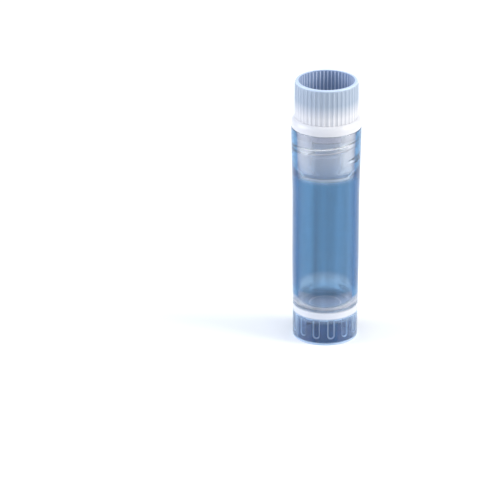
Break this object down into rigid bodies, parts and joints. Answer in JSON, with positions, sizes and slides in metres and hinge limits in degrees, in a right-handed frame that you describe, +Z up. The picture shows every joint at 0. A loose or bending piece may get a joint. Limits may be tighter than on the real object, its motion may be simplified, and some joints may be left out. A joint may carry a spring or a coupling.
{
  "type": "cryovial",
  "caption": "Self-standing screw-cap storage vial: a clear moulded tube on a ribbed skirt, closed by a ribbed hollow plug cap with a soft sealing ring.",
  "frame": {"origin": "centre of the base ring, on the plane that the vial stands on", "axes": "+Z up along the axis of the tube, from base ring to cap; +X to the right and -Y towards the viewer in the front view"},
  "size_m": [0.0125, 0.0124, 0.0487],
  "materials": {
    "tube": "clear injection-moulded polypropylene, smooth gloss, faint blue cast",
    "seal": "translucent moulded silicone, satin",
    "cap": "natural translucent injection-moulded polypropylene, satin gloss"
  },
  "bodies": {
    "tube": {"tube": "tube"},
    "seal": {"seal_ring": "seal"},
    "cap": {"cap": "cap"}
  },
  "joints": [
    {"name": "cap_lift", "type": "slide", "parent": "tube", "child": "seal", "axis": [0, 0, 1], "range_m": [0, 0.012]},
    {"name": "cap_turn", "type": "hinge", "parent": "seal", "child": "cap", "pos_m": [0, 0, 0], "axis": [0, 0, 1], "range_deg": [0, 1441]}
  ],
  "couplings": [
    {"joint": "cap_turn", "follows": "cap_lift", "rad_per_m": 2094.4}
  ]
}
